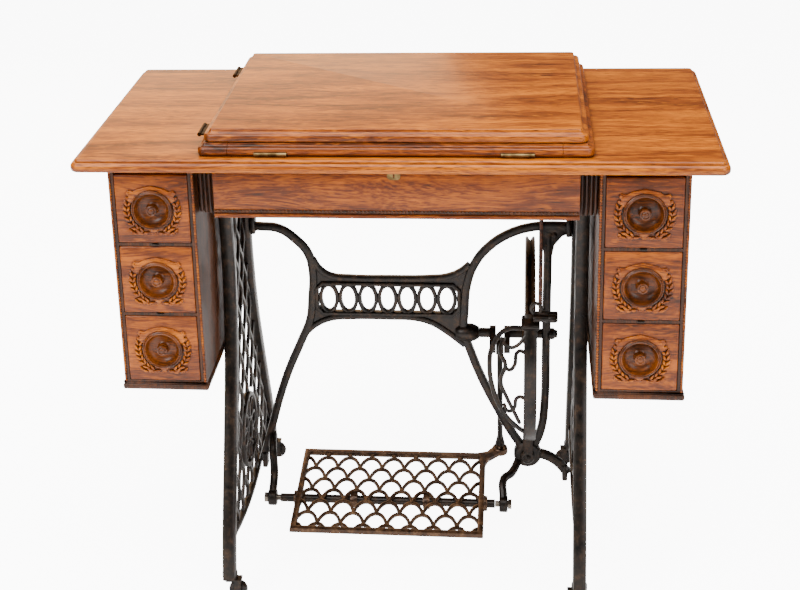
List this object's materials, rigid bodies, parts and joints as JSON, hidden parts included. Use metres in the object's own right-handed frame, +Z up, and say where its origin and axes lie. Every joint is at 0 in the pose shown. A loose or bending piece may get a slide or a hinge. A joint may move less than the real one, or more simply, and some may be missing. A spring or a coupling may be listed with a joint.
{
  "type": "treadle sewing machine cabinet",
  "caption": "Treadle sewing machine: oak cabinet with side drawers, tilting till and folding leaf over a stowed head, on a cast-iron stand with treadle, crank, band wheel and casters.",
  "frame": {"origin": "on the floor, under the middle of the cabinet's outer box", "axes": "+X to the right along the top, +Y from the drawers' front to the back, +Z up"},
  "size_m": [0.915, 0.48, 0.762],
  "materials": {
    "golden_oak": "glossy shellac over quarter-sawn oak",
    "plain_wood": "bare, matt",
    "cast_iron": "worn black japan, satin",
    "bright_steel": "aged, dull",
    "aged_brass": "darkened",
    "belt_leather": "matt",
    "black_enamel": "gloss"
  },
  "bodies": {
    "stand": {"table_top": "golden_oak", "bed_frame": "golden_oak", "flap_hinge_left": "aged_brass", "flap_hinge_right": "aged_brass", "leaf_hinge_front_fixed": "aged_brass", "leaf_hinge_back_fixed": "aged_brass", "left_drawer_case": "golden_oak", "right_drawer_case": "golden_oak", "front_skirt": "golden_oak", "left_side_frame": "cast_iron", "right_side_frame": "cast_iron", "centre_brace": "cast_iron", "cone_screw_left": "bright_steel", "cone_screw_right": "bright_steel", "dress_guard": "cast_iron", "belt": "belt_leather"},
    "leaf": {"folding_leaf": "golden_oak", "leaf_hinge_front_moving": "aged_brass", "leaf_hinge_back_moving": "aged_brass"},
    "flap": {"front_flap": "golden_oak"},
    "head": {"machine_head": "black_enamel"},
    "needle": {"needle_bar": "bright_steel"},
    "presser": {"presser_bar": "bright_steel"},
    "hand_wheel": {"hand_wheel": "bright_steel"},
    "till": {"apron_panel": "golden_oak", "till_tray": "plain_wood", "lock_escutcheon": "aged_brass"},
    "wheel": {"band_wheel": "cast_iron", "crank_left": "bright_steel", "crank_right": "bright_steel"},
    "treadle": {"treadle": "cast_iron", "treadle_cross_bar": "cast_iron"},
    "pitman": {"pitman_rod": "bright_steel"},
    "shifter": {"belt_shifter": "bright_steel"},
    "drawer_left_1": {"drawer_front_left_1": "golden_oak", "drawer_box_left_1": "plain_wood", "drawer_pull_left_1": "golden_oak"},
    "drawer_left_2": {"drawer_front_left_2": "golden_oak", "drawer_box_left_2": "plain_wood", "drawer_pull_left_2": "golden_oak"},
    "drawer_left_3": {"drawer_front_left_3": "golden_oak", "drawer_box_left_3": "plain_wood", "drawer_pull_left_3": "golden_oak"},
    "drawer_right_1": {"drawer_front_right_1": "golden_oak", "drawer_box_right_1": "plain_wood", "drawer_pull_right_1": "golden_oak"},
    "drawer_right_2": {"drawer_front_right_2": "golden_oak", "drawer_box_right_2": "plain_wood", "drawer_pull_right_2": "golden_oak"},
    "drawer_right_3": {"drawer_front_right_3": "golden_oak", "drawer_box_right_3": "plain_wood", "drawer_pull_right_3": "golden_oak"},
    "swivel_front_left": {"caster_fork_front_left": "cast_iron"},
    "roller_front_left": {"caster_wheel_front_left": "cast_iron"},
    "swivel_front_right": {"caster_fork_front_right": "cast_iron"},
    "roller_front_right": {"caster_wheel_front_right": "cast_iron"},
    "swivel_back_left": {"caster_fork_back_left": "cast_iron"},
    "roller_back_left": {"caster_wheel_back_left": "cast_iron"},
    "swivel_back_right": {"caster_fork_back_right": "cast_iron"},
    "roller_back_right": {"caster_wheel_back_right": "cast_iron"}
  },
  "joints": [
    {"name": "leaf_fold", "type": "hinge", "parent": "stand", "child": "leaf", "pos_m": [-0.2805, 0, 0.74415], "axis": [0, -1, 0], "range_deg": [0, 180]},
    {"name": "flap_fold", "type": "hinge", "parent": "stand", "child": "flap", "pos_m": [0, -0.2185, 0.7296], "axis": [1, 0, 0], "range_deg": [0, 90]},
    {"name": "head_swing", "type": "hinge", "parent": "stand", "child": "head", "pos_m": [0, 0.152, 0.735], "axis": [-1, 0, 0], "range_deg": [0, 90]},
    {"name": "hand_turn", "type": "hinge", "parent": "head", "child": "hand_wheel", "pos_m": [0.18115, -0.033, 0.645], "axis": [1, 0, 0], "range_deg": [-90, 90]},
    {"name": "needle_stroke", "type": "slide", "parent": "head", "child": "needle", "axis": [0, 1, 0], "range_m": [-0.0151, 0.0151]},
    {"name": "presser_lift", "type": "slide", "parent": "head", "child": "presser", "axis": [0, -1, 0], "range_m": [0, 0.006]},
    {"name": "till_tilt", "type": "hinge", "parent": "stand", "child": "till", "pos_m": [0, -0.198, 0.636], "axis": [1, 0, 0], "range_deg": [0, 35]},
    {"name": "drawer_slide_left_1", "type": "slide", "parent": "stand", "child": "drawer_left_1", "axis": [0, -1, 0], "range_m": [0, 0.3]},
    {"name": "drawer_slide_left_2", "type": "slide", "parent": "stand", "child": "drawer_left_2", "axis": [0, -1, 0], "range_m": [0, 0.3]},
    {"name": "drawer_slide_left_3", "type": "slide", "parent": "stand", "child": "drawer_left_3", "axis": [0, -1, 0], "range_m": [0, 0.3]},
    {"name": "drawer_slide_right_1", "type": "slide", "parent": "stand", "child": "drawer_right_1", "axis": [0, -1, 0], "range_m": [0, 0.3]},
    {"name": "drawer_slide_right_2", "type": "slide", "parent": "stand", "child": "drawer_right_2", "axis": [0, -1, 0], "range_m": [0, 0.3]},
    {"name": "drawer_slide_right_3", "type": "slide", "parent": "stand", "child": "drawer_right_3", "axis": [0, -1, 0], "range_m": [0, 0.3]},
    {"name": "wheel_turn", "type": "hinge", "parent": "stand", "child": "wheel", "pos_m": [0.193, 0.069, 0.325], "axis": [1, 0, 0], "range_deg": [-112, 68]},
    {"name": "treadle_rock", "type": "hinge", "parent": "stand", "child": "treadle", "pos_m": [0, -0.005, 0.05], "axis": [1, 0, 0], "range_deg": [-10.2, 16.7]},
    {"name": "pitman_swing", "type": "hinge", "parent": "treadle", "child": "pitman", "pos_m": [0.145, 0.1211, 0.0895], "axis": [1, 0, 0], "range_deg": [-16.7, 10.2]},
    {"name": "shifter_swing", "type": "hinge", "parent": "stand", "child": "shifter", "pos_m": [0.224, -0.0827, 0.423], "axis": [0, 1, 0], "range_deg": [-5, 15]},
    {"name": "caster_swivel_front_left", "type": "hinge", "parent": "stand", "child": "swivel_front_left", "pos_m": [-0.268, -0.217, 0.034], "axis": [0, 0, 1], "continuous": true},
    {"name": "caster_roll_front_left", "type": "hinge", "parent": "swivel_front_left", "child": "roller_front_left", "pos_m": [-0.256, -0.217, 0.0145], "axis": [0, 1, 0], "continuous": true},
    {"name": "caster_swivel_front_right", "type": "hinge", "parent": "stand", "child": "swivel_front_right", "pos_m": [0.268, -0.217, 0.034], "axis": [0, 0, 1], "continuous": true},
    {"name": "caster_roll_front_right", "type": "hinge", "parent": "swivel_front_right", "child": "roller_front_right", "pos_m": [0.256, -0.217, 0.0145], "axis": [0, 1, 0], "continuous": true},
    {"name": "caster_swivel_back_left", "type": "hinge", "parent": "stand", "child": "swivel_back_left", "pos_m": [-0.268, 0.217, 0.034], "axis": [0, 0, 1], "continuous": true},
    {"name": "caster_roll_back_left", "type": "hinge", "parent": "swivel_back_left", "child": "roller_back_left", "pos_m": [-0.256, 0.217, 0.0145], "axis": [0, 1, 0], "continuous": true},
    {"name": "caster_swivel_back_right", "type": "hinge", "parent": "stand", "child": "swivel_back_right", "pos_m": [0.268, 0.217, 0.034], "axis": [0, 0, 1], "continuous": true},
    {"name": "caster_roll_back_right", "type": "hinge", "parent": "swivel_back_right", "child": "roller_back_right", "pos_m": [0.256, 0.217, 0.0145], "axis": [0, 1, 0], "continuous": true}
  ],
  "couplings": [
    {"joint": "flap_fold", "follows": "leaf_fold", "ratio": 0.5},
    {"joint": "head_swing", "follows": "leaf_fold", "ratio": 0.5},
    {"joint": "needle_stroke", "follows": "hand_turn", "m_per_rad": 0.009549},
    {"joint": "treadle_rock", "follows": "wheel_turn", "ratio": -0.1482},
    {"joint": "pitman_swing", "follows": "wheel_turn", "ratio": 0.1482}
  ]
}
